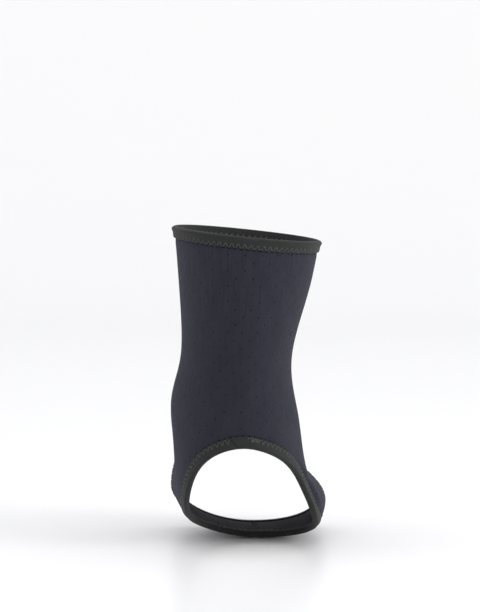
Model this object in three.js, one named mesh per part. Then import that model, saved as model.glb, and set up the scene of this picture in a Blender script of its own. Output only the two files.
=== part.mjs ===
// A slip-on ankle brace in the shape it takes on a right foot: a foam-rubber sleeve from the
// lower calf to the middle of the foot, open at the heel, with a folded tape sewn over each of
// its three edges.
// Millimetres. The origin is the centre of the ankle joint, +X points to the outer side of the
// foot, +Y to the toes and +Z up the leg.
import * as THREE from "three";
import { mergeVertices } from "three/addons/utils/BufferGeometryUtils.js";

// Lengths along the leg and the foot, from the ankle joint to the outside of the sleeve.
const rimHeight = 88.3; // up to the leg edge
const soleDepth = 78; // down to the sole
const heelReach = 58; // back to the heel
const footReach = 88; // forward to the foot edge

// Outside widths of the sleeve, across the foot.
const calfWidth = 77; // at the leg edge
const ankleWidth = 60; // at the narrowest place
const heelWidth = 68; // round the heel bone
const footWidth = 87; // at the middle of the foot

// The sheet and its edge tapes.
const wall = 2.5; // foam rubber with knit on both faces, stretched on the leg
const tapeThickness = 0.7;
const tapeWidth = 4.6; // how far the folded tape reaches over each face
const pinch = 0.4; // how deep its stitches press it into each face of the sheet
const seatGap = 0.3; // between the sheet and the tape round it
const rimFlare = 1.3; // how far the leg edge curls outward
const flareReach = 3; // how far down the leg the curl fades

// The ankle bones that lift the sleeve, one on each side of the joint.
const boneRise = 2;
const boneSpread = 13;
const bones = [
  { side: -1, y: 0.07 * footReach, z: 0 },
  { side: 1, y: -0.1 * heelReach, z: -0.14 * soleDepth },
];

// The sleeve is drawn through twelve sections, from the leg edge to the foot edge. Each lies in
// a plane across the limb, through a back point and a front point.
// Where the two points are: y in shares of footReach ahead of the joint and of heelReach behind
// it, z in shares of rimHeight above the joint and of soleDepth below it.
const sidePlaces = [
  { back: [-0.862, 1], front: [0.438, 1] },
  { back: [-0.816, 0.727], front: [0.42, 0.727] },
  { back: [-0.748, 0.466], front: [0.415, 0.477] },
  { back: [-0.729, 0.239], front: [0.443, 0.284] },
  { back: [-0.793, 0.034], front: [0.494, 0.153] },
  { back: [-0.897, -0.205], front: [0.551, 0.063] },
  { back: [-1, -0.513], front: [0.608, 0] },
  { back: [-0.966, -0.872], front: [0.665, -0.058] },
  { back: [-0.517, -1.02], front: [0.722, -0.109] },
  { back: [0.114, -1], front: [0.79, -0.16] },
  { back: [0.511, -0.99], front: [0.886, -0.224] },
  { back: [0.886, -1], front: [1.01, -0.282] },
];

// Where the back, front, innermost and outermost points are in x, in shares of one width.
const acrossPlaces = [
  { of: calfWidth, back: 0.06, front: 0.05, inner: -0.428, outer: 0.565 },
  { of: calfWidth, back: 0.05, front: 0.04, inner: -0.403, outer: 0.515 },
  { of: ankleWidth, back: 0.05, front: 0.03, inner: -0.49, outer: 0.545 },
  { of: ankleWidth, back: 0.03, front: 0, inner: -0.487, outer: 0.475 },
  { of: ankleWidth, back: 0.04, front: 0, inner: -0.542, outer: 0.486 },
  { of: ankleWidth, back: 0.07, front: -0.02, inner: -0.568, outer: 0.512 },
  { of: heelWidth, back: 0.12, front: -0.03, inner: -0.495, outer: 0.484 },
  { of: heelWidth, back: 0.15, front: -0.04, inner: -0.49, outer: 0.56 },
  { of: heelWidth, back: 0.2, front: -0.05, inner: -0.5, outer: 0.648 },
  { of: footWidth, back: 0.17, front: -0.05, inner: -0.41, outer: 0.56 },
  { of: footWidth, back: 0.13, front: -0.06, inner: -0.415, outer: 0.562 },
  { of: footWidth, back: 0.1, front: -0.06, inner: -0.42, outer: 0.555 },
];

// How the sections are rounded: how far from back to front the innermost and the outermost
// points lie, how full each quarter is (0.55 is an ellipse), and how much the section rises
// towards the inner side, per unit of width.
const roundings = [
  { innerAt: 0.5, outerAt: 0.5, full: [0.53, 0.57, 0.57, 0.53], rise: 0.105 },
  { innerAt: 0.5, outerAt: 0.5, full: [0.52, 0.57, 0.57, 0.52], rise: 0.06 },
  { innerAt: 0.5, outerAt: 0.5, full: [0.5, 0.57, 0.57, 0.5], rise: 0.02 },
  { innerAt: 0.5, outerAt: 0.5, full: [0.48, 0.57, 0.57, 0.48], rise: 0 },
  { innerAt: 0.5, outerAt: 0.45, full: [0.48, 0.55, 0.55, 0.48], rise: 0 },
  { innerAt: 0.5, outerAt: 0.45, full: [0.5, 0.53, 0.53, 0.5], rise: 0 },
  { innerAt: 0.5, outerAt: 0.45, full: [0.53, 0.5, 0.48, 0.55], rise: 0 },
  { innerAt: 0.5, outerAt: 0.38, full: [0.55, 0.5, 0.36, 0.58], rise: 0 },
  { innerAt: 0.48, outerAt: 0.32, full: [0.52, 0.52, 0.28, 0.6], rise: 0 },
  { innerAt: 0.45, outerAt: 0.31, full: [0.48, 0.55, 0.22, 0.62], rise: 0 },
  { innerAt: 0.42, outerAt: 0.31, full: [0.5, 0.57, 0.22, 0.62], rise: 0 },
  { innerAt: 0.4, outerAt: 0.31, full: [0.52, 0.58, 0.24, 0.62], rise: 0 },
];
const fullNames = ["backInner", "frontInner", "frontOuter", "backOuter"];

// The heel opening in the net of the sleeve, where along runs from 0 at the leg edge to 1 at the
// foot edge and around from 0 at the back to 0.5 at the front, positive on the outer side.
// A squareness of 2 is an ellipse.
const heelOpening = {
  top: 0.462,
  bottom: 0.87,
  innerHalf: 0.17,
  outerHalf: 0.224,
  innerSquareness: 1.9,
  outerSquareness: 1.75,
};
const patchMargin = 1.5; // from the opening to the border of the patch round it, in tape widths

// How finely the solids are faceted.
const aroundSteps = 44; // columns round the sleeve
const patchColumns = 24; // of them in the patch round the heel opening
const rowsAbove = 10; // from the leg tape to the patch
const rowsBeside = 14; // beside the patch
const rowsBelow = 4; // from the patch to the foot tape
const patchRings = 3; // from the border of the patch to the heel tape
const foldSteps = 4; // round the fold of a tape

const nudge = 1e-3; // a small step in the net, for slopes

const clamp = THREE.MathUtils.clamp;
const lerp = THREE.MathUtils.lerp;

// The length that a share stands for: one size ahead of the joint, another behind it.
const scaled = (share, ahead, behind) => share * (share < 0 ? behind : ahead);

const sections = sidePlaces.map(({ back, front }, i) => {
  const { of, ...across } = acrossPlaces[i];
  const { full, ...rounding } = roundings[i];
  return {
    backY: scaled(back[0], footReach, heelReach),
    backZ: scaled(back[1], rimHeight, soleDepth),
    frontY: scaled(front[0], footReach, heelReach),
    frontZ: scaled(front[1], rimHeight, soleDepth),
    backX: across.back * of,
    frontX: across.front * of,
    innerX: across.inner * of,
    outerX: across.outer * of,
    ...rounding,
    ...Object.fromEntries(fullNames.map((name, k) => [name, full[k]])),
  };
});
const sectionNames = Object.keys(sections[0]);
const lastSection = sections.length - 1;

// One value of a section. Past either end it is mirrored through the end one, so that the blend
// of the sections starts and ends there.
function sectionValue(i, name) {
  if (i < 0) return 2 * sections[0][name] - sections[-i][name];
  if (i <= lastSection) return sections[i][name];
  return 2 * sections[lastSection][name] - sections[2 * lastSection - i][name];
}

// The section at a place along the net: a cubic B-spline of the ones in the tables.
function sectionAt(along) {
  const place = along * lastSection;
  const i = clamp(Math.floor(place), 0, lastSection - 1);
  const t = place - i;
  const weights = [
    (1 - t) ** 3 / 6,
    (3 * t ** 3 - 6 * t ** 2 + 4) / 6,
    (-3 * t ** 3 + 3 * t ** 2 + 3 * t + 1) / 6,
    t ** 3 / 6,
  ];
  const blend = (name) =>
    weights.reduce((sum, weight, k) => sum + weight * sectionValue(i - 1 + k, name), 0);
  return Object.fromEntries(sectionNames.map((name) => [name, blend(name)]));
}

// How far the ankle bones push a point sideways: round bumps that fade away from their middles
// and towards the middle of the leg.
function bonePush(p) {
  return bones.reduce((push, { side, y, z }) => {
    const apart = Math.hypot(p.y - y, p.z - z) / boneSpread;
    const onSide = clamp((4 * side * p.x) / ankleWidth, 0, 1);
    return push + side * onSide * boneRise * Math.exp(-0.5 * apart ** 2);
  }, 0);
}

// A point of the outer face of the sleeve, at a place of its net.
function outerPoint(along, around) {
  const s = sectionAt(along);
  const turn = around - Math.round(around);
  const outer = turn >= 0;
  const front = Math.abs(turn) > 0.25;
  const sideX = outer ? s.outerX : s.innerX;
  const sideAt = outer ? s.outerAt : s.innerAt;
  const endX = front ? s.frontX : s.backX;
  const endAt = front ? 1 : 0;
  const full = s[(front ? "front" : "back") + (outer ? "Outer" : "Inner")];
  const quarter = new THREE.CubicBezierCurve(
    new THREE.Vector2(endX, endAt),
    new THREE.Vector2(lerp(endX, sideX, full), endAt),
    new THREE.Vector2(sideX, lerp(sideAt, endAt, full)),
    new THREE.Vector2(sideX, sideAt),
  ).getPoint(4 * (front ? 0.5 - Math.abs(turn) : Math.abs(turn)));
  const fromMiddle = quarter.x - (s.innerX + s.outerX) / 2;
  const p = new THREE.Vector3(
    quarter.x,
    lerp(s.backY, s.frontY, quarter.y),
    lerp(s.backZ, s.frontZ, quarter.y) - s.rise * fromMiddle,
  );
  const curl = rimFlare * Math.exp((-along * (rimHeight + soleDepth + footReach)) / flareReach);
  p.x += bonePush(p) + (2 * curl * fromMiddle) / (s.outerX - s.innerX);
  p.y += curl * (2 * quarter.y - 1);
  return p;
}

// How the outer face runs at a place of the net: its two slopes and its outward normal.
function slopesAt([along, around]) {
  const back = Math.max(along - nudge, 0);
  const ahead = Math.min(along + nudge, 1);
  const alongSlope = outerPoint(ahead, around)
    .sub(outerPoint(back, around))
    .divideScalar(ahead - back);
  const aroundSlope = outerPoint(along, around + nudge)
    .sub(outerPoint(along, around - nudge))
    .divideScalar(2 * nudge);
  const normal = alongSlope.clone().cross(aroundSlope).normalize();
  return { alongSlope, aroundSlope, normal };
}

// The point at a depth under the outer face. A negative depth lies outside it.
function atDepth(place, depth) {
  return outerPoint(...place).addScaledVector(slopesAt(place).normal, -depth);
}

// For each place of a closed edge, the direction in the sheet away from the edge. The edge runs
// with the sheet on its right, seen from outside.
function awayFromEdge(edge) {
  return edge.map((place, i) => {
    const ahead = outerPoint(...edge[(i + 1) % edge.length]);
    const behind = outerPoint(...edge[(i + edge.length - 1) % edge.length]);
    const run = ahead.sub(behind).normalize();
    return run.cross(slopesAt(place).normal).normalize();
  });
}

// The places of the net at a distance from an edge, found from the slopes of the face.
function insetFrom(edge, distance) {
  const away = awayFromEdge(edge);
  return edge.map((place, i) => {
    const { alongSlope: a, aroundSlope: b } = slopesAt(place);
    const step = away[i].clone().multiplyScalar(distance);
    const area = a.dot(a) * b.dot(b) - a.dot(b) ** 2;
    return [
      place[0] + (step.dot(a) * b.dot(b) - step.dot(b) * a.dot(b)) / area,
      place[1] + (step.dot(b) * a.dot(a) - step.dot(a) * a.dot(b)) / area,
    ];
  });
}

// The place on the edge of the heel opening at an angle from its top, positive to the outer side.
function openingPlace(angle) {
  const { top, bottom, innerHalf, outerHalf, innerSquareness, outerSquareness } = heelOpening;
  const inner = Math.sin(angle) < 0;
  const power = 2 / (inner ? innerSquareness : outerSquareness);
  const bend = (v) => Math.sign(v) * Math.abs(v) ** power;
  const along = lerp(top, bottom, (1 - bend(Math.cos(angle))) / 2);
  return [along, (inner ? innerHalf : outerHalf) * bend(Math.sin(angle))];
}

// The place where each of a row of evenly spaced columns crosses the net.
function rowAt(along) {
  return Array.from({ length: aroundSteps }, (_, i) => [along, i / aroundSteps - 0.5]);
}

// Evenly spaced values after start, up to end.
function stepsTo(start, end, count) {
  return Array.from({ length: count }, (_, i) => lerp(start, end, (i + 1) / count));
}

// Quads between two closed loops of the same count, the second one inside the first.
function quadsBetween(outside, inside) {
  return outside.map((k, i) => {
    const next = (i + 1) % outside.length;
    return [outside[next], inside[next], inside[i], k];
  });
}

// The net of the sleeve: places on its outer face, the quads between them and its three edges.
// Rows run round it, and rings round the heel opening fill a patch of the rows.
function makeNet() {
  const places = [];
  const quads = [];
  const add = (loop) => loop.map((place) => places.push(place) - 1);

  const leg = { edge: rowAt(0) };
  const foot = { edge: rowAt(1).reverse() };
  leg.inset = insetFrom(leg.edge, tapeWidth);
  foot.inset = insetFrom(foot.edge, tapeWidth);

  const { top, bottom } = heelOpening;
  const span = bottom - top;
  const openingLength = outerPoint(top, 0).distanceTo(outerPoint(bottom, 0));
  const margin = (patchMargin * tapeWidth * span) / openingLength;
  const patchTop = top - margin;
  const patchBottom = bottom + margin;
  const legEnd = Math.max(...leg.inset.map(([along]) => along));
  const footEnd = Math.min(...foot.inset.map(([along]) => along));
  const rows = [
    add(leg.edge),
    add(leg.inset),
    ...stepsTo(legEnd, patchTop, rowsAbove).map((along) => add(rowAt(along))),
    ...stepsTo(patchTop, patchBottom, rowsBeside).map((along) => add(rowAt(along))),
    ...stepsTo(patchBottom, footEnd, rowsBelow).slice(0, -1).map((along) => add(rowAt(along))),
    add(foot.inset).reverse(),
    add(foot.edge).reverse(),
  ];
  const lastRow = rows.length - 1;
  const topRow = 1 + rowsAbove;
  const bottomRow = topRow + rowsBeside;
  const half = patchColumns / 2;
  const first = aroundSteps / 2 - half;
  const last = first + patchColumns;
  for (let r = 0; r < lastRow; r++)
    for (let c = 0; c < aroundSteps; c++) {
      if (r >= topRow && r < bottomRow && c >= first && c < last) continue;
      const next = (c + 1) % aroundSteps;
      quads.push([rows[r][c], rows[r + 1][c], rows[r + 1][next], rows[r][next]]);
    }

  // The border of the patch, from its upper outer corner and back to it.
  const border = [];
  for (let c = last; c > first; c--) border.push(rows[topRow][c]);
  for (let r = topRow; r < bottomRow; r++) border.push(rows[r][first]);
  for (let c = first; c < last; c++) border.push(rows[bottomRow][c]);
  for (let r = bottomRow; r > topRow; r--) border.push(rows[r][last]);

  const middle = (patchTop + patchBottom) / 2;
  const heel = {
    edge: border.map((k) => {
      const [along, around] = places[k];
      const across = (around * aroundSteps) / half;
      return openingPlace(Math.atan2(across, (2 * (middle - along)) / (patchBottom - patchTop)));
    }),
  };
  heel.inset = insetFrom(heel.edge, tapeWidth);
  const rings = [border];
  for (let k = 1; k <= patchRings; k++)
    rings.push(
      add(
        heel.inset.map((place, i) => [
          lerp(places[border[i]][0], place[0], k / patchRings),
          lerp(places[border[i]][1], place[1], k / patchRings),
        ]),
      ),
    );
  rings.push(add(heel.edge));
  for (let k = 1; k < rings.length; k++) quads.push(...quadsBetween(rings[k - 1], rings[k]));

  const edges = [rows[0], [...rows[lastRow]].reverse(), rings[patchRings + 1]];
  const insets = [rows[1], rows[lastRow - 1], rings[patchRings]];
  return { places, quads, edges, underTape: new Set([...edges, ...insets].flat()), leg, foot, heel };
}

// A closed body from points and quads, with each quad cut into two triangles.
function bodyFrom(points, quads) {
  const corners = quads.flatMap(([a, b, c, d]) => [a, b, c, a, c, d]);
  const geometry = new THREE.BufferGeometry().setFromPoints(corners.map((k) => points[k]));
  return mergeVertices(geometry);
}

// The sheet: its outer face, its inner face one wall deeper, and the three edges between them.
// Under the tapes it is pinched thinner from both faces.
function sleeveGeometry({ places, quads, edges, underTape }) {
  const pinched = places.map((_, k) => (underTape.has(k) ? pinch : 0));
  const points = [
    ...places.map((place, k) => atDepth(place, pinched[k])),
    ...places.map((place, k) => atDepth(place, wall - pinched[k])),
  ];
  const deeper = (k) => k + places.length;
  const innerQuads = quads.map((quad) => quad.map(deeper).reverse());
  const edgeQuads = edges.flatMap((edge) =>
    edge.map((k, i) => {
      const next = edge[(i + 1) % edge.length];
      return [k, next, deeper(next), deeper(k)];
    }),
  );
  return bodyFrom(points, [...quads, ...innerQuads, ...edgeQuads]);
}

// A tape folded over an edge of the sheet: down one face, round the edge and up the other.
function tapeGeometry({ edge, inset }) {
  const away = awayFromEdge(edge);
  const middle = wall / 2;
  const inside = middle - pinch + seatGap;
  const outside = inside + tapeThickness;
  const fold = Array.from({ length: foldSteps + 1 }, (_, i) => (Math.PI * i) / foldSteps);
  const section = [
    { on: inset, depth: middle - outside, past: 0 },
    ...fold.map((angle) => ({
      on: edge,
      depth: middle - outside * Math.cos(angle),
      past: seatGap + tapeThickness * Math.sin(angle),
    })),
    { on: inset, depth: middle + outside, past: 0 },
    { on: inset, depth: middle + inside, past: 0 },
    { on: edge, depth: middle + inside, past: seatGap },
    { on: edge, depth: middle - inside, past: seatGap },
    { on: inset, depth: middle - inside, past: 0 },
  ];
  const points = edge.flatMap((_, i) =>
    section.map(({ on, depth, past }) => atDepth(on[i], depth).addScaledVector(away[i], -past)),
  );
  const quads = edge.flatMap((_, i) =>
    section.map((_, k) => {
      const here = i * section.length;
      const there = ((i + 1) % edge.length) * section.length;
      const next = (k + 1) % section.length;
      return [there + k, there + next, here + next, here + k];
    }),
  );
  return bodyFrom(points, quads);
}

const knit = new THREE.MeshStandardMaterial({ color: 0x30323a, roughness: 0.9, metalness: 0 });
const tape = new THREE.MeshStandardMaterial({ color: 0x363836, roughness: 0.85, metalness: 0 });

function piece(name, geometry, material) {
  const mesh = new THREE.Mesh(geometry, material);
  mesh.name = name;
  return mesh;
}

const net = makeNet();
const brace = new THREE.Group();
brace.name = "ankle_brace";
brace.add(
  piece("sleeve", sleeveGeometry(net), knit),
  piece("leg_binding", tapeGeometry(net.leg), tape),
  piece("foot_binding", tapeGeometry(net.foot), tape),
  piece("heel_binding", tapeGeometry(net.heel), tape),
);

export default brace;
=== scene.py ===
import math
from copy import copy

import bpy
import numpy as np
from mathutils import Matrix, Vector


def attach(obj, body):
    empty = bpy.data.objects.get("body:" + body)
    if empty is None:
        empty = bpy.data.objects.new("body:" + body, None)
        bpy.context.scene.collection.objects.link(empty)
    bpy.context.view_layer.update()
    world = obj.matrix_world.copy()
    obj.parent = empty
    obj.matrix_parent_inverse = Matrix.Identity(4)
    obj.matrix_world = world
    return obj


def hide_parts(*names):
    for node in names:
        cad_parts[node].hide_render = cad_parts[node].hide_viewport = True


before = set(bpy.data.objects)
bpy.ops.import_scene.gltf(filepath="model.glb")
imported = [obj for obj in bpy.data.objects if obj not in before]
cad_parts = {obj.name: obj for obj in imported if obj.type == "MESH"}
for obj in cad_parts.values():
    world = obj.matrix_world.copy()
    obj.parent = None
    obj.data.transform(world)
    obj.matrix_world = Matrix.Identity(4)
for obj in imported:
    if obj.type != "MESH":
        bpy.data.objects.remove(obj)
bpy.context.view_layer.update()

mm = 0.001

# The brace as it sits on a right foot, in millimetres from the ankle joint: +x outer side, +y toes, +z up.
braceForm = {
    "rimHeight": 88.3,
    "soleDepth": 78,
    "heelReach": 58,
    "footReach": 88,
    "widths": {"calf": 77, "ankle": 60, "heel": 68, "foot": 87},
    "rimFlare": 1.3,  # outward curl of the leg edge
    "flareReach": 3,  # how far down it fades
    "boneRise": 2,
    "boneSpread": 13,
    "boneFade": 4,  # how soon a bone's bump is full, from the middle plane to the side
    "bones": [(-1, 6.2, 0.0), (1, -5.8, -10.9)],  # side, y, z of the ankle bones
}

# A row for each section from leg edge to foot edge. y and z are shares of the lengths above, and x of the
# named width. At = how far from back to front the widest places lie, the next four = how round each quarter
# is, and rise = how much higher the inner side lies, for each millimetre across.
rowNames = ["width", "backY", "backZ", "frontY", "frontZ", "backX", "frontX", "innerX", "outerX",
            "innerAt", "outerAt", "backInner", "frontInner", "frontOuter", "backOuter", "rise"]
sectionRows = [
    ("calf", -0.862, 1, 0.438, 1, 0.06, 0.05, -0.428, 0.565, 0.5, 0.5, 0.53, 0.57, 0.57, 0.53, 0.105),
    ("calf", -0.816, 0.727, 0.42, 0.727, 0.05, 0.04, -0.403, 0.515, 0.5, 0.5, 0.52, 0.57, 0.57, 0.52, 0.06),
    ("ankle", -0.748, 0.466, 0.415, 0.477, 0.05, 0.03, -0.49, 0.545, 0.5, 0.5, 0.5, 0.57, 0.57, 0.5, 0.02),
    ("ankle", -0.729, 0.239, 0.443, 0.284, 0.03, 0, -0.487, 0.475, 0.5, 0.5, 0.48, 0.57, 0.57, 0.48, 0),
    ("ankle", -0.793, 0.034, 0.494, 0.153, 0.04, 0, -0.542, 0.486, 0.5, 0.45, 0.48, 0.55, 0.55, 0.48, 0),
    ("ankle", -0.897, -0.205, 0.551, 0.063, 0.07, -0.02, -0.568, 0.512, 0.5, 0.45, 0.5, 0.53, 0.53, 0.5, 0),
    ("heel", -1, -0.513, 0.608, 0, 0.12, -0.03, -0.495, 0.484, 0.5, 0.45, 0.53, 0.5, 0.48, 0.55, 0),
    ("heel", -0.966, -0.872, 0.665, -0.058, 0.15, -0.04, -0.49, 0.56, 0.5, 0.38, 0.55, 0.5, 0.36, 0.58, 0),
    ("heel", -0.517, -1.02, 0.722, -0.109, 0.2, -0.05, -0.5, 0.648, 0.48, 0.32, 0.52, 0.52, 0.28, 0.6, 0),
    ("foot", 0.114, -1, 0.79, -0.16, 0.17, -0.05, -0.41, 0.56, 0.45, 0.31, 0.48, 0.55, 0.22, 0.62, 0),
    ("foot", 0.511, -0.99, 0.886, -0.224, 0.13, -0.06, -0.415, 0.562, 0.42, 0.31, 0.5, 0.57, 0.22, 0.62, 0),
    ("foot", 0.886, -1, 1.01, -0.282, 0.1, -0.06, -0.42, 0.555, 0.4, 0.31, 0.52, 0.58, 0.24, 0.62, 0),
]

heelHole = {  # in the net: along 0 to 1 from leg to foot, around 0 at the back to +-0.5 at the front
    "top": 0.462, "bottom": 0.87,
    "innerHalf": 0.17, "outerHalf": 0.224,
    "innerSquareness": 1.9, "outerSquareness": 1.75,
}


def sectionTable():
    # shares times the lengths and widths that they follow, with a mirrored row past each end
    out = []
    for row in sectionRows:
        values = dict(zip(rowNames, row))
        width = braceForm["widths"][values.pop("width")]
        for name in ("backY", "frontY"):
            values[name] *= braceForm["heelReach"] if values[name] < 0 else braceForm["footReach"]
        for name in ("backZ", "frontZ"):
            values[name] *= braceForm["soleDepth"] if values[name] < 0 else braceForm["rimHeight"]
        for name in ("backX", "frontX", "innerX", "outerX"):
            values[name] *= width
        out.append([values[name] for name in rowNames[1:]])
    rows = np.array(out, float)
    return np.vstack([2 * rows[0] - rows[1], rows, 2 * rows[-1] - rows[-2]])


sectionGrid = sectionTable()


def sleevePoint(along, around):
    # section(along) = cubic B-spline of the rows; point = quarter Bezier(around) in its slanted plane, plus a
    # Gaussian bump for each ankle bone and an exponential outward curl at the leg edge
    along, around = np.broadcast_arrays(np.asarray(along, float), np.asarray(around, float))
    last = len(sectionRows) - 1
    i = np.clip(np.floor(along * last).astype(int), 0, last - 1)
    t = (along * last - i)[..., None]
    blend = [
        (1 - t) ** 3 / 6, (3 * t**3 - 6 * t**2 + 4) / 6,
        (-3 * t**3 + 3 * t**2 + 3 * t + 1) / 6, t**3 / 6,
    ]
    values = sum(weight * sectionGrid[i + k] for k, weight in enumerate(blend))
    s = {name: values[..., k] for k, name in enumerate(rowNames[1:])}
    turn = around - np.round(around)
    outer, front = turn >= 0, np.abs(turn) > 0.25
    sideX, sideAt = np.where(outer, s["outerX"], s["innerX"]), np.where(outer, s["outerAt"], s["innerAt"])
    endX, endAt = np.where(front, s["frontX"], s["backX"]), front.astype(float)
    full = np.where(front, np.where(outer, s["frontOuter"], s["frontInner"]),
                    np.where(outer, s["backOuter"], s["backInner"]))
    q = 4 * np.where(front, 0.5 - np.abs(turn), np.abs(turn))
    b = [(1 - q) ** 3, 3 * q * (1 - q) ** 2, 3 * q * q * (1 - q), q**3]
    x = b[0] * endX + b[1] * (endX + (sideX - endX) * full) + (b[2] + b[3]) * sideX
    at = (b[0] + b[1]) * endAt + b[2] * (sideAt + (endAt - sideAt) * full) + b[3] * sideAt
    y = s["backY"] + (s["frontY"] - s["backY"]) * at
    fromMiddle = x - (s["innerX"] + s["outerX"]) / 2
    z = s["backZ"] + (s["frontZ"] - s["backZ"]) * at - s["rise"] * fromMiddle
    wholeLength = braceForm["rimHeight"] + braceForm["soleDepth"] + braceForm["footReach"]
    curl = braceForm["rimFlare"] * np.exp(-along / (braceForm["flareReach"] / wholeLength))
    push = 2 * curl * fromMiddle / (s["outerX"] - s["innerX"])
    for side, boneY, boneZ in braceForm["bones"]:
        apart = ((y - boneY) ** 2 + (z - boneZ) ** 2) / braceForm["boneSpread"] ** 2
        onSide = np.clip(braceForm["boneFade"] * side * x / braceForm["widths"]["ankle"], 0, 1)
        push = push + side * onSide * braceForm["boneRise"] * np.exp(-0.5 * apart)
    return np.stack([x + push, y + curl * (2 * at - 1), z], -1)


def sleeveSlopes(along, around, step=1e-3):
    # central differences along and around, and their unit cross product, which points outwards
    back, ahead = np.maximum(along - step, 0), np.minimum(along + step, 1)
    alongSlope = (sleevePoint(ahead, around) - sleevePoint(back, around)) / (ahead - back)[..., None]
    aroundSlope = (sleevePoint(along, around + step) - sleevePoint(along, around - step)) / (2 * step)
    normal = np.cross(alongSlope, aroundSlope)
    return alongSlope, aroundSlope, normal / np.linalg.norm(normal, axis=-1, keepdims=True)


def holeEdge(angle):
    # superellipse: along = middle - half * cos^p, around = side half * sin^p, with p = 2 / squareness
    inner = np.sin(angle) < 0
    power = 2 / np.where(inner, heelHole["innerSquareness"], heelHole["outerSquareness"])
    up = np.sign(np.cos(angle)) * np.abs(np.cos(angle)) ** power
    side = np.sign(np.sin(angle)) * np.abs(np.sin(angle)) ** power
    half = (heelHole["bottom"] - heelHole["top"]) / 2
    return np.stack([heelHole["top"] + half * (1 - up),
                     np.where(inner, heelHole["innerHalf"], heelHole["outerHalf"]) * side], 1)


# each edge from share 0 to 1 of one turn, with the sheet on its right as seen from outside
edgeCurves = {
    "leg": lambda share: np.stack([0 * share, share - 0.5], 1),
    "foot": lambda share: np.stack([0 * share + 1, 0.5 - share], 1),
    "heel": lambda share: holeEdge(-2 * math.pi * share),
}


def evenLoop(name, count, samples=4001):
    # places of a closed edge spaced evenly by length, and that length, from a running sum of short steps
    share = np.linspace(0, 1, samples)
    places = edgeCurves[name](share)
    steps = np.linalg.norm(np.diff(sleevePoint(places[:, 0], places[:, 1]), axis=0), axis=1)
    run = np.concatenate([[0], np.cumsum(steps)])
    return edgeCurves[name](np.interp(np.linspace(0, run[-1], count, endpoint=False), run, share)), run[-1]


class Ladder:
    # places in the net at every distance from a closed edge, marched over the surface in short rungs: each
    # step lies in the surface and is solved in its two slopes, which gives the move in the net
    reach, rungs = 10.0, 40

    def __init__(self, edge):
        points = sleevePoint(edge[:, 0], edge[:, 1])
        forward = np.roll(points, -1, 0) - np.roll(points, 1, 0)
        away = np.cross(forward, sleeveSlopes(edge[:, 0], edge[:, 1])[2])
        self.away = away / np.linalg.norm(away, axis=-1, keepdims=True)
        rows = [edge]
        for _ in range(self.rungs):
            a, b, normal = sleeveSlopes(rows[-1][:, 0], rows[-1][:, 1])
            step = self.away - normal * (self.away * normal).sum(1, keepdims=True)
            step *= self.reach / self.rungs / np.linalg.norm(step, axis=1, keepdims=True)
            aa, bb, ab = (a * a).sum(1), (b * b).sum(1), (a * b).sum(1)
            sa, sb = (step * a).sum(1), (step * b).sum(1)
            move = np.stack([sa * bb - sb * ab, sb * aa - sa * ab], 1) / (aa * bb - ab**2)[:, None]
            rows.append(rows[-1] + move)
        self.rows = np.stack(rows)

    def only(self, chosen):
        # the same rungs at some places of the edge
        part = copy(self)
        part.away, part.rows = self.away[chosen], self.rows[:, chosen]
        return part

    def at(self, distance):
        # straight line between the two nearest rungs, with one distance for each place of the edge
        rung = np.broadcast_to(distance, len(self.away)) / self.reach * self.rungs
        rung = np.clip(rung, 0, self.rungs - 1e-6)
        low, each = rung.astype(int), np.arange(len(self.away))
        near, far = self.rows[low, each], self.rows[low + 1, each]
        return near + (far - near) * (rung - low)[:, None]


def quadGrid(rows, columns):
    # corner numbers of every quad of a rows x columns grid, closed round its columns
    r, c = np.meshgrid(np.arange(rows - 1), np.arange(columns), indexing="ij")
    near, far = r * columns, (r + 1) * columns
    n = (c + 1) % columns
    return np.stack([near + c, far + c, far + n, near + n], -1).reshape(-1, 4)


def makeMesh(name, points, quads, attributes):
    # quads are turned outwards by the sign of the volume; attributes has values for each point or each corner
    p = points[quads]
    volume = np.einsum("ij,ij->i", p[:, 0], np.cross(p[:, 1], p[:, 2]) + np.cross(p[:, 2], p[:, 3])).sum()
    if volume < 0:
        quads = quads[:, ::-1]
        attributes = {k: (a.reshape(-1, 4, 3)[:, ::-1].reshape(-1, 3) if len(a) == quads.size else a)
                      for k, a in attributes.items()}
    mesh = bpy.data.meshes.new(name)
    mesh.from_pydata((points * mm).tolist(), [], quads.tolist())
    for key, values in attributes.items():
        domain = "CORNER" if len(values) == quads.size else "POINT"
        layer = mesh.attributes.new(key, "FLOAT_VECTOR", domain)
        layer.data.foreach_set("vector", values.astype(np.float32).ravel())
    mesh.polygons.foreach_set("use_smooth", np.ones(len(quads), bool))
    mesh.update()
    obj = bpy.data.objects.new(name, mesh)
    bpy.context.collection.objects.link(obj)
    return obj


print("flat cut")
flatCut = {
    "rows": 49, "columns": 25,  # of each half
    "rounds": 60,
    "weights": (0.05, 10), "hollowWeight": 1e-3,  # least and most of an edge, and share of one in the opening
    "seamGap": 1e-9,  # keeps the inner half on its own side of the front seam
    "stretch": 1.12,  # how much wider the knit is when worn than when cut
}


def insideHole(along, around):
    # superellipse test, below 1 inside
    half = (heelHole["bottom"] - heelHole["top"]) / 2
    up = np.abs((heelHole["top"] + half - along) / half)
    inner = around < 0
    across = np.abs(around) / np.where(inner, heelHole["innerHalf"], heelHole["outerHalf"])
    power = np.where(inner, heelHole["innerSquareness"], heelHole["outerSquareness"])
    return up**power + across**power < 1


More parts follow.
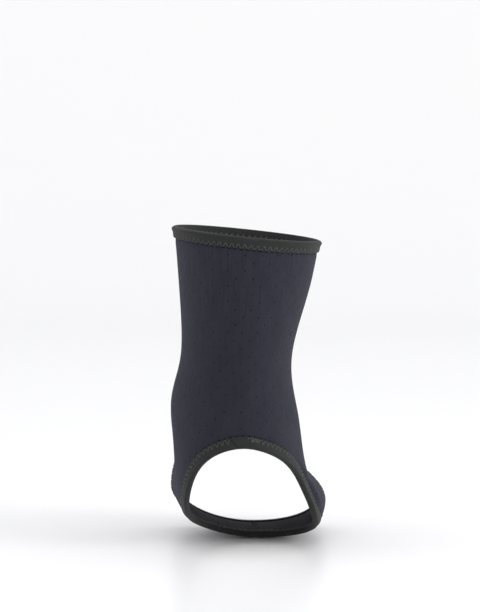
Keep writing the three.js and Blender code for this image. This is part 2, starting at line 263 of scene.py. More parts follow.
def unfoldSheet():
    # the sheet slit along front and sole and laid flat: each triangle takes its best turn, then one linear
    # solve moves all places, over and over
    rows, columns = flatCut["rows"], flatCut["columns"]
    along = np.linspace(0, 1, rows)[None, :, None]
    around = np.array([np.linspace(-0.5, 0, columns), np.linspace(0, 0.5, columns)])[:, None, :]
    along, around = np.broadcast_arrays(along, around)
    surface = sleevePoint(along, around + np.where(np.arange(2) == 0, -flatCut["seamGap"], 0)[:, None, None])
    # the halves share the middle of the back, as far down as the heel opening
    ids = np.arange(along.size).reshape(along.shape)
    ids[1, :, 0] = np.where(along[1, :, 0] <= heelHole["top"], ids[0, :, -1], ids[1, :, 0])
    kept, names = np.unique(ids, return_inverse=True)
    names = names.reshape(ids.shape)
    a, b = names[:, :-1, :-1].ravel(), names[:, :-1, 1:].ravel()
    c, d = names[:, 1:, 1:].ravel(), names[:, 1:, :-1].ravel()
    triangles = np.vstack([np.stack([a, b, c], 1), np.stack([a, c, d], 1)])
    # triangles inside the heel opening keep the net together, but hardly count
    middleAlong = (along[:, :-1, :-1] + along[:, 1:, 1:]).ravel() / 2
    middleAround = (around[:, :-1, :-1] + around[:, 1:, 1:]).ravel() / 2
    hollow = np.tile(insideHole(middleAlong, middleAround), 2)
    # each triangle laid flat by itself; an edge weighs the cotangent of the angle opposite
    p = surface.reshape(-1, 3)[kept][triangles]
    e1, e2 = p[:, 1] - p[:, 0], p[:, 2] - p[:, 0]
    length, area = np.linalg.norm(e1, axis=1), np.linalg.norm(np.cross(e1, e2), axis=1) / 2
    local = np.zeros((len(p), 3, 2))
    local[:, 1, 0], local[:, 2, 0], local[:, 2, 1] = length, (e1 * e2).sum(1) / length, 2 * area / length
    start, end, opposite = [0, 1, 2], [1, 2, 0], [2, 0, 1]
    rest = local[:, end] - local[:, start]
    cosine = ((local[:, start] - local[:, opposite]) * (local[:, end] - local[:, opposite])).sum(-1)
    weight = np.clip(cosine / (2 * area[:, None]), *flatCut["weights"])
    weight = weight * np.where(hollow, flatCut["hollowWeight"], 1)[:, None]
    i, j, count = triangles[:, start], triangles[:, end], len(kept)
    matrix = np.full((count, count), 1.0 / count)
    for row, column, sign in ((i, i, 1), (j, j, 1), (i, j, -1), (j, i, -1)):
        np.add.at(matrix, (row.ravel(), column.ravel()), sign * weight.ravel())
    solver = np.linalg.inv(matrix)
    # first places: lengths run along the rows from the middle of the back, and down the columns
    across = np.linalg.norm(np.diff(surface, axis=2), axis=-1)
    down = np.linalg.norm(np.diff(surface, axis=1), axis=-1)
    u = np.concatenate([0 * across[:, :, :1], np.cumsum(across, 2)], -1)
    u[0] -= u[0][:, -1:]
    v = np.concatenate([0 * down[:, :1], np.cumsum(down, 1)], 1)
    flat = np.stack([u, v], -1).reshape(-1, 2)[kept]
    for _ in range(flatCut["rounds"]):
        now = flat[j] - flat[i]
        turn = np.arctan2((weight * (rest[..., 0] * now[..., 1] - rest[..., 1] * now[..., 0])).sum(1),
                          (weight * (rest * now).sum(-1)).sum(1))[:, None]
        turned = np.stack([rest[..., 0] * np.cos(turn) - rest[..., 1] * np.sin(turn),
                           rest[..., 0] * np.sin(turn) + rest[..., 1] * np.cos(turn)], -1) * weight[..., None]
        pull = np.zeros((count, 2))
        np.add.at(pull, j.ravel(), turned.reshape(-1, 2))
        np.add.at(pull, i.ravel(), -turned.reshape(-1, 2))
        flat = solver @ pull
    # turned so that the upper third of the middle of the back runs straight down
    spine = flat[names[0, :, -1]]
    lean = math.atan2(*(spine[rows // 3] - spine[0]))
    turn = np.array([[math.cos(lean), math.sin(lean)], [-math.sin(lean), math.cos(lean)]])
    flat = (flat - spine[0]) @ turn
    stretch = (np.linalg.norm(flat[j] - flat[i], axis=-1) / np.linalg.norm(rest, axis=-1))[~hollow]
    print("  edge lengths kept, 2, 50 and 98 per cent:", np.round(np.percentile(stretch, [2, 50, 98]), 3))
    size = np.ptp(flat[np.unique(triangles[~hollow])], axis=0)
    return flat[names], size, area[~hollow].sum()


clothTable, clothSize, clothArea = unfoldSheet()


def clothAt(places, quads):
    # flat cut coordinates of every quad's corners, read bilinearly from the half that the quad lies in
    along, around = places[quads][..., 0], places[quads][..., 1]
    around = around + ((around < 0) & (np.ptp(around, axis=1) > 0.5)[:, None])
    half = (around.mean(1) > 0).astype(int)[:, None] + 0 * quads
    r = np.clip(along, 0, 1) * (flatCut["rows"] - 1)
    c = np.clip((around + 0.5 - 0.5 * half) * 2, 0, 1) * (flatCut["columns"] - 1)
    i, j = np.minimum(r.astype(int), flatCut["rows"] - 2), np.minimum(c.astype(int), flatCut["columns"] - 2)
    r, c = (r - i)[..., None], (c - j)[..., None]
    upper = clothTable[half, i, j] * (1 - c) + clothTable[half, i, j + 1] * c
    lower = clothTable[half, i + 1, j] * (1 - c) + clothTable[half, i + 1, j + 1] * c
    return upper * (1 - r) + lower * r


print("sleeve")
sheetSpec = {
    "wall": 2.5,  # as worn
    "pinch": 0.4,  # how deep the tape is pressed into each face
    "ease": 3.2,  # how far past the tape the sheet takes to come up again
    "columns": 320, "holeColumns": 176,  # round the sleeve, and of them in the patch round the heel opening
    "rows": (50, 54, 10),  # above, beside and below that patch
    "rings": 10,  # from the patch border to the heel tape
    "margin": 0.03,  # of the patch over the opening
    "crowding": 2.2, "crowdReach": 0.014,  # columns gather at the two seams:
    "crowded": ((-0.5, 1), (0.5, 1), (0, 0.6)),  # around, share
    "hemRows": (0, 2.3, 4.6, 5.1, 5.7, 6.5, 7.6),  # distances of the net's rows from the leg and foot edges
    "grooveDepth": 0.55, "grooveHalf": 0.45,  # along a seam
    "bandDepth": 0.22, "bandHalf": 2.7, "bandPower": 6,  # with more power its sides are steeper
    "seamEase": 1.5,  # how far past the tape groove and band take to reach their depth
    "seamStart": 0.02,  # how far above the opening's lower end the sole seam counts
    "ridge": {  # outer side, beside the heel tape
        "rise": 2.3, "from": 7.4, "half": 1.2, "start": 0.52, "end": 0.81, "around": (0.1, 0.4),
    },
}
tapeSpec = {
    "width": 4.6,  # how far the folded tape reaches over each face
    "thickness": 0.7,
    "lift": 0.05,  # between tape and sheet
    "swell": 0.2, "dip": 0.08,  # between stitches and at them
    "waver": 0.12, "waves": (5, 9, 16), "waveStep": 1.7,  # of its width: waves in one turn, and their offset
    "foldReach": 0.62,  # how far the fold stands past the edge, as a share of the tape's outer depth
    "bend": 0.3, "bendDepth": 0.96,  # where the inside of the fold turns
    "profileSteps": 14,
    "lap": {  # where the heel tape's ends overlap
        "run": 2.0, "half": 3.9, "slant": 0.7, "level": 2, "rise": 0.5, "ease": 0.5,
    },
}
pitches = {"leg": 3.5, "foot": 3.4, "heel": 3.0}  # about one zigzag in so many millimetres
stitchCounts = {}
for edgeName, pitch in pitches.items():
    stitchCounts[edgeName] = round(evenLoop(edgeName, 10)[1] / pitch)


def columnTurns(samples=4001):
    # even turns pulled towards the seams at 0 and +-0.5: the inverse of a running sum of 1 + crowding bumps
    fine = np.linspace(-0.5, 0.5, samples)
    density = 1 + 0 * fine
    for middle, share in sheetSpec["crowded"]:
        density += sheetSpec["crowding"] * share * np.exp(-(((fine - middle) / sheetSpec["crowdReach"]) ** 2))
    run = np.concatenate([[0], np.cumsum((density[1:] + density[:-1]) / 2)])
    return np.interp(np.arange(sheetSpec["columns"]) / sheetSpec["columns"] * run[-1], run, fine)


def sleeveNet():
    # rows round the sleeve, with a patch of them given over to rings round the heel opening
    columns, (above, beside, below) = sheetSpec["columns"], sheetSpec["rows"]
    turn = columnTurns()

    def rowAt(along):
        # one row of places round the sleeve
        return np.stack([np.full(columns, along), turn], 1)

    legHem, footHem = Ladder(rowAt(0.0)), Ladder(rowAt(1.0)[::-1])
    rows = [legHem.at(d) for d in sheetSpec["hemRows"]]
    feet = [footHem.at(d)[::-1] for d in sheetSpec["hemRows"][::-1]]
    top, bottom = heelHole["top"] - sheetSpec["margin"], heelHole["bottom"] + sheetSpec["margin"]
    share = (np.arange(1, above + 1) / above)[:, None, None]
    rows += list(rows[-1] + (rowAt(top) - rows[-1]) * share)
    rows += [rowAt(top + (bottom - top) * k / beside) for k in range(1, beside + 1)]
    share = (np.arange(1, below) / below)[:, None, None]
    rows += list(rowAt(bottom) + (feet[0] - rowAt(bottom)) * share)
    rows += feet
    # the patch, and its border once round: along the top, down one side, along the bottom and up the other
    firstRow = len(sheetSpec["hemRows"]) - 1 + above
    lastRow = firstRow + beside
    middle, half = int(np.argmin(np.abs(turn))), sheetSpec["holeColumns"] // 2
    first, last = middle - half, middle + half
    quads = quadGrid(len(rows), columns)
    r, c = quads[:, 0] // columns, quads[:, 0] % columns
    quads = quads[~((r >= firstRow) & (r < lastRow) & (c >= first) & (c < last))]
    places = np.concatenate(rows)
    border = np.concatenate([
        firstRow * columns + np.arange(last, first, -1),
        np.arange(firstRow, lastRow) * columns + first,
        lastRow * columns + np.arange(first, last),
        np.arange(lastRow, firstRow, -1) * columns + last,
    ])
    rim = places[border]
    up = ((top + bottom) / 2 - rim[:, 0]) / ((bottom - top) / 2)
    edge = holeEdge(np.arctan2(rim[:, 1] / turn[last], up))
    hem = Ladder(edge)
    inset, rings = hem.at(tapeSpec["width"]), sheetSpec["rings"]
    loops = [rim + (inset - rim) * k / rings for k in range(1, rings + 1)]
    loops += [hem.at(tapeSpec["width"] / 2), edge]
    ringIds = np.vstack([border, len(places) + np.arange(len(border) * len(loops)).reshape(-1, len(border))])
    n = np.roll(np.arange(len(border)), -1)
    far, near = ringIds[:-1], ringIds[1:]
    ringQuads = np.stack([far[:, n], near[:, n], near, far], -1).reshape(-1, 4)
    lastId = (len(rows) - 1) * columns
    openings = [np.arange(columns), lastId + np.arange(columns)[::-1], ringIds[-1]]
    quads, places = np.vstack([quads, ringQuads]), np.concatenate([places, *loops])
    # places that no quad uses any more are dropped
    used, renamed = np.unique(quads, return_inverse=True)
    names = np.zeros(len(places), int)
    names[used] = np.arange(len(used))
    return places[used], renamed.reshape(-1, 4), [names[k] for k in openings]


def hemOf(points, samples=1200, block=4000):
    # distance to the nearest edge, and the stitch number there, from squared distances in blocks of points
    nearest, stitch = np.full(len(points), 1e9), np.zeros(len(points))
    for name, count in stitchCounts.items():
        places = evenLoop(name, samples)[0]
        line = sleevePoint(places[:, 0], places[:, 1])
        for start in range(0, len(points), block):
            part = slice(start, start + block)
            p = points[part]
            apart = (p**2).sum(1)[:, None] + (line**2).sum(1) - 2 * p @ line.T
            found = apart.argmin(1)
            distance = np.sqrt(np.maximum(apart.min(1), 0))
            closer = distance < nearest[part]
            nearest[part] = np.where(closer, distance, nearest[part])
            stitch[part] = np.where(closer, found / samples * count, stitch[part])
    return nearest, stitch


def seamDistance(places):
    # millimetres to the front seam or, below the heel opening, to the sole seam
    along, around = places[:, 0], places[:, 1]
    scale = np.linalg.norm(sleeveSlopes(along, around)[1], axis=1)
    front = (0.5 - np.abs(around - np.round(around))) * scale
    sole = np.where(along > heelHole["bottom"] - sheetSpec["seamStart"], np.abs(around) * scale, 1e9)
    return np.minimum(front, sole)


def ridgeRise(places, hem):
    # a ridge where the stretched sheet stands up beside the outer part of the heel tape: a Gaussian of the
    # distance from the edge times a half sine down the sleeve
    ridge = sheetSpec["ridge"]
    share = np.clip((places[:, 0] - ridge["start"]) / (ridge["end"] - ridge["start"]), 0, 1)
    side = (places[:, 1] > ridge["around"][0]) & (places[:, 1] < ridge["around"][1])
    rise = ridge["rise"] * np.exp(-(((hem - ridge["from"]) / ridge["half"]) ** 2))
    return rise * np.sin(math.pi * share) * side


def buildSleeve():
    # outer face = surface, less a smooth step under the tapes and a Gaussian groove in a flat band along the
    # seams, plus the ridge; inner face = a wall deeper, pinched and banded from its own side
    places, quads, openings = sleeveNet()
    outer, normal = sleevePoint(places[:, 0], places[:, 1]), sleeveSlopes(places[:, 0], places[:, 1])[2]
    hem, stitch = hemOf(outer)
    ease = np.clip((hem - tapeSpec["width"]) / sheetSpec["ease"], 0, 1)
    pressed = sheetSpec["pinch"] * (1 - ease * ease * (3 - 2 * ease))
    seam = seamDistance(places)
    groove = sheetSpec["grooveDepth"] * np.exp(-((seam / sheetSpec["grooveHalf"]) ** 2))
    fromBand = np.minimum(seam, 20) / sheetSpec["bandHalf"]
    band = sheetSpec["bandDepth"] * np.exp(-(fromBand ** sheetSpec["bandPower"]))
    free = np.clip((hem - tapeSpec["width"]) / sheetSpec["seamEase"], 0, 1)
    ridge = ridgeRise(places, hem)
    sunk = (pressed + free * (groove + band) - ridge)[:, None]
    deep = (sheetSpec["wall"] - pressed - free * band - ridge)[:, None]
    points, deeper = np.concatenate([outer - normal * sunk, outer - normal * deep]), len(places)
    rims = [np.stack([k, np.roll(k, -1), np.roll(k, -1) + deeper, k + deeper], 1) for k in openings]
    allQuads = np.vstack([quads, quads[:, ::-1] + deeper, *rims])
    cloth = clothAt(np.vstack([places, places]), allQuads)
    face = (allQuads >= deeper).astype(float)[..., None]
    stitch = np.tile(stitch, 2)[allQuads]
    wrapped = (stitch < 20) & (np.ptp(stitch, axis=1) > 40)[:, None]  # quads where the count starts again
    stitch = stitch + wrapped * stitchCounts["leg"]
    hems = np.stack([np.tile(hem, 2)[allQuads], stitch, np.tile(seam, 2)[allQuads]], -1)
    corners = {"cloth": np.concatenate([cloth, face], -1).reshape(-1, 3), "hem": hems.reshape(-1, 3)}
    return makeMesh("sleeve_knit", points, allQuads, corners)


sleeve = buildSleeve()

print("edge tapes")


def tapeProfile():
    # (distance from the edge, depth under the outer face) once round the folded tape, outside first
    middle, width = sheetSpec["wall"] / 2, tapeSpec["width"]
    inside = middle - sheetSpec["pinch"] + tapeSpec["lift"]
    outside = inside + tapeSpec["thickness"]
    n = tapeSpec["profileSteps"]
    leg, turn = width * (1 - np.arange(n) / n), np.linspace(0, math.pi, n + 1)
    hem, radius = np.linspace(0, math.pi, 5)[1:-1], tapeSpec["thickness"] / 2
    curl = np.stack([width + radius * np.sin(hem), radius * np.cos(hem)], 1)
    bend, deep = tapeSpec["bend"], inside * tapeSpec["bendDepth"]
    back = np.array([[width, inside], [width / 2, inside], [bend, deep], [-tapeSpec["lift"], 0],
                     [bend, -deep], [width / 2, -inside], [width, -inside]])
    past = -tapeSpec["lift"] - outside * tapeSpec["foldReach"] * np.sin(turn)
    # outer face down to the edge, fold, inner face up again, its hem, the inside, and the outer face's hem
    parts = [
        np.stack([leg, np.full(n, -outside)], 1),
        np.stack([past, -outside * np.cos(turn)], 1),
        np.stack([leg[::-1], np.full(n, outside)], 1),
        curl + [0, inside + radius], back, curl + [0, -inside - radius],
    ]
    return np.vstack(parts) + [0, middle], 3 * n + 1


def lapShare(run, length, distance):
    # 1 on the overlap of the heel tape, with slanted ends, easing to 0 in a straight line
    lap = tapeSpec["lap"]
    run = (run - lap["run"] - lap["slant"] * (distance - lap["level"]) + length / 2) % length - length / 2
    return np.clip((lap["half"] - np.abs(run)) / lap["ease"], 0, 1)


def buildTape(name, count=640):
    # the profile carried along the edge; its hem swells between stitches and wavers by a few slow waves
    places, length = evenLoop(name, count)
    ladder = Ladder(places)
    profile, skin = tapeProfile()
    run = np.arange(count) / count * length
    phase = run / length * stitchCounts[name] * 2 * math.pi
    waves, offset = tapeSpec["waves"], tapeSpec["waveStep"]
    slow = sum(np.sin(run / length * 2 * math.pi * k + offset * k) for k in waves) / len(waves)
    middle = sheetSpec["wall"] / 2
    rows = []
    for k, (distance, depth) in enumerate(profile):
        share = np.clip(distance / tapeSpec["width"], 0, 1)
        base = ladder.at(max(distance, 0) + tapeSpec["waver"] * slow * share)
        point, normal = sleevePoint(base[:, 0], base[:, 1]), sleeveSlopes(base[:, 0], base[:, 1])[2]
        rise = 0 * run
        if k < skin:
            rise = share**2 * (tapeSpec["swell"] * (0.5 + 0.5 * np.cos(phase)) - tapeSpec["dip"])
            if name == "heel":
                rise = rise + tapeSpec["lap"]["rise"] * lapShare(run, length, distance)
        rows.append(point - normal * (depth - np.sign(middle - depth) * rise)[:, None]
                    + ladder.away * min(distance, 0))
    points, n = np.stack(rows, 1).reshape(-1, 3), len(profile)
    across = np.concatenate([[0], np.cumsum(np.linalg.norm(np.diff(profile, axis=0), axis=1))])
    lap = np.stack([lapShare(run, length, d) if name == "heel" else 0 * run for d in profile[:, 0]], 1)
    cloth = np.stack([np.repeat(run, n), np.tile(across, count), lap.ravel()], 1)
    return makeMesh(name + "_tape", points, quadGrid(count + 1, n) % (count * n), {"cloth": cloth})


tapes = {name: buildTape(name) for name in edgeCurves}

print("stitches")
threadSpec = {
    "radius": 0.17, "sides": 6,
    "onTape": 2.5, "onSheet": 0.5,  # how far the zigzag swings either side of the tape's hem
    "stepStart": 0.3, "stepLength": 0.5,  # where it comes down from the tape to the sheet, past the hem
    "underLap": 0.9,  # how far it drops where the heel tape's end covers it
    "arch": 0.3, "archPower": 0.6, "sunk": 0.34,  # each stroke rises from its needle holes
    "seamHalf": 2.3, "seamPitch": 2.4, "seamArch": 0.1,  # two rows and a ladder over a seam, pulled in tight
    "seamOverlap": 0.6, "ladderLift": 0.16,  # its start on the hem, and the ladder over the rows
    "tackRun": (-6.6, -2.4), "tackStrokes": 9,  # where the heel tape's sewing starts and ends
    "tackPast": 0.1, "tackLift": 0.15,  # past the hem, and over the zigzag
}


def threadTube(centre, normal, closed):
    # a round profile carried along a line of centres, with its ends closed by two quads each
    sides, count = threadSpec["sides"], len(centre)
    forward = np.roll(centre, -1, 0) - np.roll(centre, 1, 0) if closed else np.gradient(centre, axis=0)
    forward /= np.linalg.norm(forward, axis=1, keepdims=True)
    side = np.cross(forward, normal)
    side /= np.linalg.norm(side, axis=1, keepdims=True)
    up, angle = np.cross(side, forward), np.arange(sides) / sides * 2 * math.pi
    ring = side[:, None] * np.cos(angle)[None, :, None] + up[:, None] * np.sin(angle)[None, :, None]
    points = (centre[:, None] + ring * threadSpec["radius"]).reshape(-1, 3)
    if closed:
        return points, quadGrid(count + 1, sides) % len(points)
    caps = np.array([[0, 3, 2, 1], [0, 5, 4, 3]])
    return points, np.vstack([quadGrid(count, sides), caps[:, ::-1], caps + (count - 1) * sides])


def joinTubes(name, tubes):
    # all tubes of one sewing line in one mesh
    starts = np.cumsum([0] + [len(points) for points, _ in tubes[:-1]])
    points = np.vstack([points for points, _ in tubes])
    return makeMesh(name, points, np.vstack([quads + start for start, (_, quads) in zip(starts, tubes)]), {})


def strokeArch(t, rise):
    # height over the cloth along strokes that start and end at whole numbers of t: a blunt half sine
    return rise * np.abs(np.sin(math.pi * t)) ** threadSpec["archPower"] - threadSpec["sunk"]


def zigzag(t):
    # triangle wave: 0 at even whole numbers, 1 at odd ones
    return 2 * np.abs(t / 2 - np.floor(t / 2 + 0.5))


def onFaces(places, height):
    # the line lifted off the outer face and off the inner one
    point, normal = sleevePoint(places[:, 0], places[:, 1]), sleeveSlopes(places[:, 0], places[:, 1])[2]
    lift = height[:, None]
    return [(point + normal * lift, normal), (point - normal * (sheetSpec["wall"] + lift), normal)]


def backTack(steps, samples=4000):
    # short strokes side by side over the outside of the heel tape, where its sewing was locked
    fine, length = evenLoop("heel", samples)
    t = np.arange(threadSpec["tackStrokes"] * steps + 1) / steps
    run = np.interp(t, [0, t[-1]], threadSpec["tackRun"])
    chosen = ((run / length) % 1 * len(fine)).astype(int)
    distance = tapeSpec["width"] + threadSpec["tackPast"] - threadSpec["onTape"] * (1 - zigzag(t))
    height = tapeSpec["thickness"] - sheetSpec["pinch"] + threadSpec["radius"] * 2
    height = height + strokeArch(t, threadSpec["arch"]) + threadSpec["tackLift"]
    return threadTube(*onFaces(Ladder(fine).only(chosen).at(distance), height)[0], False)


def buildEdgeStitches(name, steps=8):
    # zigzag: distance from the edge swings as a triangle wave; strokes lie on the tape, then on the sheet
    width, count = tapeSpec["width"], stitchCounts[name] * 2 * steps
    places, length = evenLoop(name, count)
    t = np.arange(count) / steps
    distance = width - threadSpec["onTape"] + (threadSpec["onTape"] + threadSpec["onSheet"]) * zigzag(t)
    carried = np.clip((width + threadSpec["stepStart"] - distance) / threadSpec["stepLength"], 0, 1)
    tapeTop = (tapeSpec["thickness"] + tapeSpec["lift"]) * carried
    height = tapeTop - sheetSpec["pinch"] + threadSpec["radius"] + strokeArch(t, threadSpec["arch"])
    if name == "heel":
        lapped = lapShare(np.arange(count) / count * length, length, distance)
        height = height - threadSpec["underLap"] * lapped
    tubes = [threadTube(*line, True) for line in onFaces(Ladder(places).at(distance), height)]
    return joinTubes(name + "_stitches", tubes + ([backTack(steps)] if name == "heel" else []))


def buildSeamStitches(name, alongEnds, around, steps=8, samples=800):
    # two rows of straight stitches and a zigzag ladder between them, down one line of the net
    fine = np.linspace(*alongEnds, samples)
    walked = np.linalg.norm(np.diff(sleevePoint(fine, around + 0 * fine), axis=0), axis=1)
    run = np.concatenate([[0], np.cumsum(walked)])
    count = int((run[-1] - 2 * tapeSpec["width"]) / threadSpec["seamPitch"])
    t = np.arange(count * steps + 1) / steps
    along = np.interp(tapeSpec["width"] - threadSpec["seamOverlap"] + t * threadSpec["seamPitch"], run, fine)
    scale = np.linalg.norm(sleeveSlopes(along, around + 0 * along)[1], axis=1)
    half, tubes = threadSpec["seamHalf"], []
    ladder = (half * (2 * zigzag(t * 2) - 1), t * 2, threadSpec["ladderLift"])
    for across, strokes, lift in ((half + 0 * t, t, 0.0), (-half + 0 * t, t, 0.0), ladder):
        places = np.stack([along, around + across / scale], 1)
        height = strokeArch(strokes, threadSpec["seamArch"]) + threadSpec["radius"] + lift
        tubes += [threadTube(*line, False) for line in onFaces(places, height - sheetSpec["bandDepth"])]
    return joinTubes(name, tubes)


sewing = {name: buildEdgeStitches(name) for name in edgeCurves}
sewing["front"] = buildSeamStitches("front_seam_stitches", (0.0, 1.0), 0.5)
sewing["sole"] = buildSeamStitches("sole_seam_stitches", (heelHole["bottom"], 1.0), 0.0)

print("materials")


class Socket:
    # a shader socket with arithmetic: each operator adds one maths node and gives its result
    def __init__(self, nodes, link):
        self.nodes, self.link = nodes, link

    def math(self, operation, other=None, swap=False, clamp=False):
        # the operation on this socket and, where given, another socket or number, which swap puts first
        pair = [self] if other is None else [self, other]
        values = dict(enumerate(pair[::-1] if swap else pair))
        return self.nodes.add("ShaderNodeMath", {"operation": operation, "use_clamp": clamp}, values)

    def __add__(self, other):
        return self.math("ADD", other)

    __radd__ = __add__

    def __sub__(self, other):
        return self.math("SUBTRACT", other)

    def __rsub__(self, other):
        return self.math("SUBTRACT", other, swap=True)

    def __mul__(self, other):
        return self.math("MULTIPLY", other)

    __rmul__ = __mul__

    def __truediv__(self, other):
        return self.math("DIVIDE", other)

    def __pow__(self, other):
        return self.math("POWER", other)

    def __mod__(self, other):
        return self.math("FLOORED_MODULO", other)

    def wave(self):
        # triangle wave: 1 at whole numbers, 0 half way between
        return (self % 1.0 - 0.5).math("ABSOLUTE") * 2

    def clip(self):
        # kept between 0 and 1
        return self.math("ADD", 0.0, clamp=True)

    def smooth(self, low, high):
        # 0 at low and 1 at high, with smoothstep between
        return self.nodes.add("ShaderNodeMapRange", {"interpolation_type": "SMOOTHSTEP"},
                              {"Value": self, "From Min": low, "From Max": high})


class Nodes:
    # a material's nodes, made by type, settings and inputs
    def __init__(self, name):
        self.material = bpy.data.materials.new(name)
        self.material.use_nodes = True
        self.tree = self.material.node_tree
        self.tree.nodes.clear()

    def add(self, kind, settings=None, values=None, output=0):
        # one node, with a socket or a number for each input named, and one of its outputs
        node = self.tree.nodes.new(kind)
        for key, value in (settings or {}).items():
            setattr(node, key, value)
        for key, value in (values or {}).items():
            if isinstance(value, Socket):
                self.tree.links.new(value.link, node.inputs[key])
            else:
                node.inputs[key].default_value = value
        return Socket(self, node.outputs[output])

    def mix(self, factor, a, b):
        # colour a at factor 0, b at 1
        return self.add("ShaderNodeMix", {"data_type": "RGBA"}, {0: factor, 6: a, 7: b}, output=2)

    def attribute(self, name):
        # the three numbers of one of the mesh's attributes
        vector = self.add("ShaderNodeAttribute", {"attribute_name": name}, output=1)
        return [self.add("ShaderNodeSeparateXYZ", None, {0: vector}, output=k) for k in range(3)]

    def noise(self, x, y, z, detail=2.0, roughness=0.5):
        # cloudy noise from 0 to 1, with a cell for each whole number of x, y and z
        vector = self.add("ShaderNodeCombineXYZ", None, {0: x, 1: y, 2: z})
        return self.add("ShaderNodeTexNoise", None,
                        {"Vector": vector, "Scale": 1.0, "Detail": detail, "Roughness": roughness})

    def bump(self, height, distance, strength):
        # the normal tilted by the slope of height, which 1 lifts by distance in millimetres
        values = {"Height": height, "Distance": distance * mm, "Strength": strength}
        return self.add("ShaderNodeBump", None, values)

    def surface(self, values):
        # one principled surface to the output, and the finished material
        shader = self.add("ShaderNodeBsdfPrincipled", None, values)
        out = self.tree.nodes.new("ShaderNodeOutputMaterial")
        self.tree.links.new(shader.link, out.inputs[0])
        return self.material


knitSpec = {
    "waleWidth": 0.86, "courseHeight": 0.62,  # one knit loop
    "holeAcross": 8.6, "holeDown": 8.3, "holeRadius": 0.48,  # the punched pinholes, in a staggered lattice
    "drift": 1.2,  # how far a pinhole strays from it
    "clearOfEdge": (5.2, 6.2), "clearOfSeam": (3.0, 3.4),  # no pinholes nearer than these
    "hemShadowGap": 0.78,  # from the tape to the row of painted shadow dashes
    "streakFade": (20.0, 75.0),  # down the sleeve
    "dark": (0.0145, 0.0148, 0.0225, 1), "light": (0.0285, 0.0288, 0.0415, 1),
    # painted shade: near-black colour for the inside of the pinholes and for the painted shadow dashes beside
    # the tapes
    "shadedHole": (0.004, 0.004, 0.005, 1),
}


def knitMaterial():
    # V-shaped loops in columns, pinholes in two shifted rectangular lattices with painted shade in them,
    # cloudy tone, streaks down the wales near the leg edge, and dashes of painted shadow beside the tapes,
    # between the stitches
    n = Nodes("knit_foam")
    u, v, face = n.attribute("cloth")
    hem, stitch, seam = n.attribute("hem")
    drift = (n.noise(u * 0.13, v * 0.13, face) - 0.5) * knitSpec["drift"]
    holeAcross, holeDown = knitSpec["holeAcross"], knitSpec["holeDown"]

    def lattice(du, dv):
        # distance to the nearest crossing of a rectangular lattice moved by du, dv
        a = (1 - ((u + drift + du) / holeAcross).wave()) * (holeAcross / 2)
        b = (1 - ((v - drift + dv) / holeDown).wave()) * (holeDown / 2)
        return (a * a + b * b) ** 0.5

    apart = lattice(0.0, 0.0).math("MINIMUM", lattice(holeAcross / 2, holeDown / 2))
    clear = hem.smooth(*knitSpec["clearOfEdge"]) * seam.smooth(*knitSpec["clearOfSeam"])
    showing = n.noise(u * 0.21, v * 0.21, 3.0).smooth(0.34, 0.6) * 0.75 + 0.25
    # painted shade: each pinhole is darkened where the shade inside it would fall, on top of its bump dent
    shadedHole = (1 - apart.smooth(knitSpec["holeRadius"] * 0.5, knitSpec["holeRadius"] * 1.3)) * clear
    dimple = (1 - apart.smooth(knitSpec["holeRadius"], knitSpec["holeRadius"] * 2.8)) * clear
    side = (u / knitSpec["waleWidth"]).wave()
    loop = (v / knitSpec["courseHeight"] + side * 0.9).wave()
    strand = (1 - loop * loop) * (1 - side.smooth(0.78, 1.0))
    cloudy, fuzz = n.noise(u * 0.11, v * 0.07, face, 3.0), n.noise(u * 2.2, v * 2.2, face, 2.0, 0.65)
    streak = n.noise(u * 1.25, v * 0.045, face + 5.0, 2.0).smooth(0.3, 0.7)
    streak = streak * (1 - v.smooth(*knitSpec["streakFade"]) * 0.7)
    tone = (cloudy * 0.7 + fuzz * 0.45 + strand * 0.3 + streak * 0.35 - 0.5).clip()
    # painted shadow: dark dashes just past the tape's hem, between stitches, where the lifted hem's shade
    # falls on the sheet
    hemShadowRow = 1 - (hem - tapeSpec["width"] - knitSpec["hemShadowGap"]).math("ABSOLUTE").smooth(0.25, 0.5)
    hemShadow = hemShadowRow * (1 - stitch.wave().smooth(0.35, 0.55))
    colour = n.mix(tone, knitSpec["dark"], knitSpec["light"])
    # the pinholes' painted shade and the painted shadow dashes take the near-black colour
    colour = n.mix((shadedHole * showing).math("MAXIMUM", hemShadow * 0.85), colour, knitSpec["shadedHole"])
    height = strand * 0.16 - shadedHole * 0.5 - dimple * 0.14 + fuzz * 0.12 - hemShadow * 0.5 + streak * 0.12
    return n.surface({
        "Base Color": colour, "Roughness": 0.92, "Normal": n.bump(height, 0.6, 0.6),
        "Sheen Weight": 0.09, "Sheen Roughness": 0.5, "Sheen Tint": (0.72, 0.72, 0.86, 1),
        "Specular IOR Level": 0.12,
    })


tapeLook = {
    "dark": (0.0150, 0.0158, 0.0155, 1), "light": (0.0330, 0.0340, 0.0335, 1),
    "ribPitch": 0.55, "warpPitch": 0.42,
}


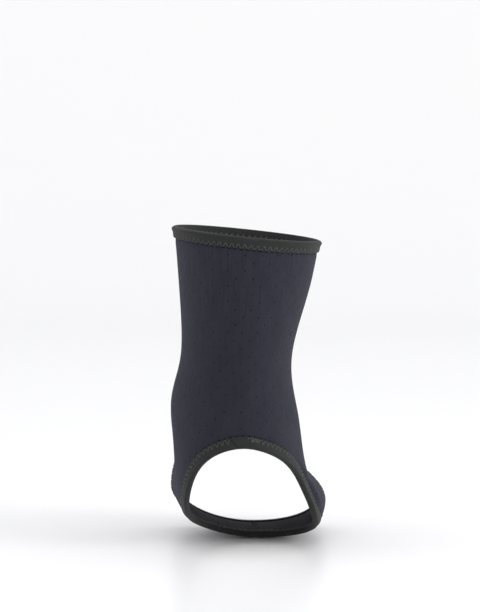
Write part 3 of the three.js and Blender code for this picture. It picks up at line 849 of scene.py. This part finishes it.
def tapeMaterial():
    # fine cross ribs and warp lines, with a cloudy tone and a darker line round the lapped end
    n = Nodes("edge_tape")
    run, across, lap = n.attribute("cloth")
    rib, warp = (run / tapeLook["ribPitch"]).wave(), (across / tapeLook["warpPitch"]).wave()
    fuzz = n.noise(run * 1.7, across * 1.7, 0.0, 3.0, 0.7)
    cloudy = n.noise(run * 0.12, across * 0.3, 4.0, 2.0)
    seam = 1 - (lap - 0.5).math("ABSOLUTE").smooth(0.0, 0.5)
    tone = (fuzz * 0.8 + rib * 0.25 + cloudy * 0.5 - 0.55 - seam * 0.8).clip()
    return n.surface({
        "Base Color": n.mix(tone, tapeLook["dark"], tapeLook["light"]), "Roughness": 0.85,
        "Normal": n.bump(rib * 0.3 + warp * 0.15 + fuzz * 0.35, 0.4, 0.6),
        "Sheen Weight": 0.12, "Sheen Roughness": 0.4, "Sheen Tint": (0.8, 0.8, 0.78, 1),
        "Specular IOR Level": 0.2,
    })


threadLook = {
    "dark": (0.026, 0.027, 0.026, 1), "light": (0.075, 0.076, 0.074, 1),
    "cells": 900,  # of mottling in a metre
}


def threadMaterial():
    # a mottled tone in Object coordinates
    n = Nodes("thread")
    place = n.add("ShaderNodeTexCoord", output=3)
    parts = [n.add("ShaderNodeSeparateXYZ", None, {0: place}, output=k) for k in range(3)]
    x, y, z = [part * threadLook["cells"] for part in parts]
    tone = n.noise(x, y, z, 2.0, 0.6).smooth(0.3, 0.7)
    return n.surface({
        "Base Color": n.mix(tone, threadLook["dark"], threadLook["light"]), "Roughness": 0.55,
        "Sheen Weight": 0.1, "Specular IOR Level": 0.4,
    })


knit, tape, thread = knitMaterial(), tapeMaterial(), threadMaterial()
sleeve.data.materials.append(knit)
for obj in tapes.values():
    obj.data.materials.append(tape)
for obj in sewing.values():
    obj.data.materials.append(thread)

trimmings = [*tapes.values(), *sewing.values()]
for obj in (sleeve, *trimmings):
    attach(obj, "root")
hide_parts("sleeve")
for name, obj in tapes.items():
    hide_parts(name + "_binding")
flatWidth, flatLength = clothSize[0] * mm / flatCut["stretch"], clothSize[1] * mm
flatArea = clothArea * mm * mm / flatCut["stretch"]
print("  flat cut", round(flatWidth, 4), "x", round(flatLength, 4), "m, area", round(flatArea, 5), "m2")

print("stage")
floorLook = {  # in millimetres
    "height": -78.9, "front": -4000, "bend": 1500, "radius": 900, "top": 3500, "half": 4000,
    "colour": (0.93, 0.93, 0.94, 1), "roughness": 0.35,
}


def buildFloor():
    # a sheet of card: flat under the sleeve's lowest point, then a quarter circle up to a wall far behind
    look, turn = floorLook, np.linspace(0, math.pi / 2, 25)
    wall = look["bend"] + look["radius"]
    y = np.concatenate([[look["front"]], look["bend"] + look["radius"] * np.sin(turn), [wall]])
    z = np.concatenate([[0], look["radius"] * (1 - np.cos(turn)), [look["top"]]]) + look["height"]
    line = np.stack([0 * y, y, z], 1)
    points = np.vstack([line - [look["half"], 0, 0], line + [look["half"], 0, 0]]) * mm
    a, n = np.arange(len(y) - 1), len(y)
    mesh = bpy.data.meshes.new("floor")
    mesh.from_pydata(points.tolist(), [], np.stack([a, a + n, a + n + 1, a + 1], 1).tolist())
    mesh.polygons.foreach_set("use_smooth", np.ones(n - 1, bool))
    obj = bpy.data.objects.new("floor", mesh)
    bpy.context.collection.objects.link(obj)
    mesh.materials.append(Nodes("floor").surface({
        "Base Color": look["colour"], "Roughness": look["roughness"], "Specular IOR Level": 0.3,
    }))
    return obj


lightSpec = {
    # x, y, z and size in metres, then watts, all aimed at the origin
    "left": (-1.3, -0.3, 0.6, 0.8, 2.5),
    "right": (1.3, -0.75, 0.55, 0.8, 13),
}


def buildLight(name, x, y, z, size, watts):
    # a square soft box turned to the origin
    data = bpy.data.lights.new(name, "AREA")
    data.energy, data.size = watts, size
    obj = bpy.data.objects.new(name, data)
    obj.location = (x, y, z)
    obj.rotation_euler = Vector((-x, -y, -z)).to_track_quat("-Z", "Y").to_euler()
    bpy.context.collection.objects.link(obj)
    return obj


buildFloor()
[buildLight(name, *values) for name, values in lightSpec.items()]
world = bpy.data.worlds.new("world")
world.use_nodes = True
background = world.node_tree.nodes["Background"]
background.inputs["Color"].default_value = (1, 1, 1, 1)
background.inputs["Strength"].default_value = 0.98
bpy.context.scene.world = world
bpy.context.scene.view_settings.view_transform = "Standard"

cameraSpec = {
    "place": (1.7, -1706, 173),  # in millimetres
    "pitch": 4.1,  # degrees down
    "focal": 188.5,  # on a 36 mm long side
}
cameraData = bpy.data.cameras.new("camera")
cameraData.lens, cameraData.sensor_width = cameraSpec["focal"], 36
cameraData.clip_start, cameraData.clip_end = 0.05, 50
camera = bpy.data.objects.new("camera", cameraData)
camera.location = np.array(cameraSpec["place"]) * mm
camera.rotation_euler = (math.radians(90 - cameraSpec["pitch"]), 0, 0)
bpy.context.collection.objects.link(camera)
bpy.context.scene.camera = camera
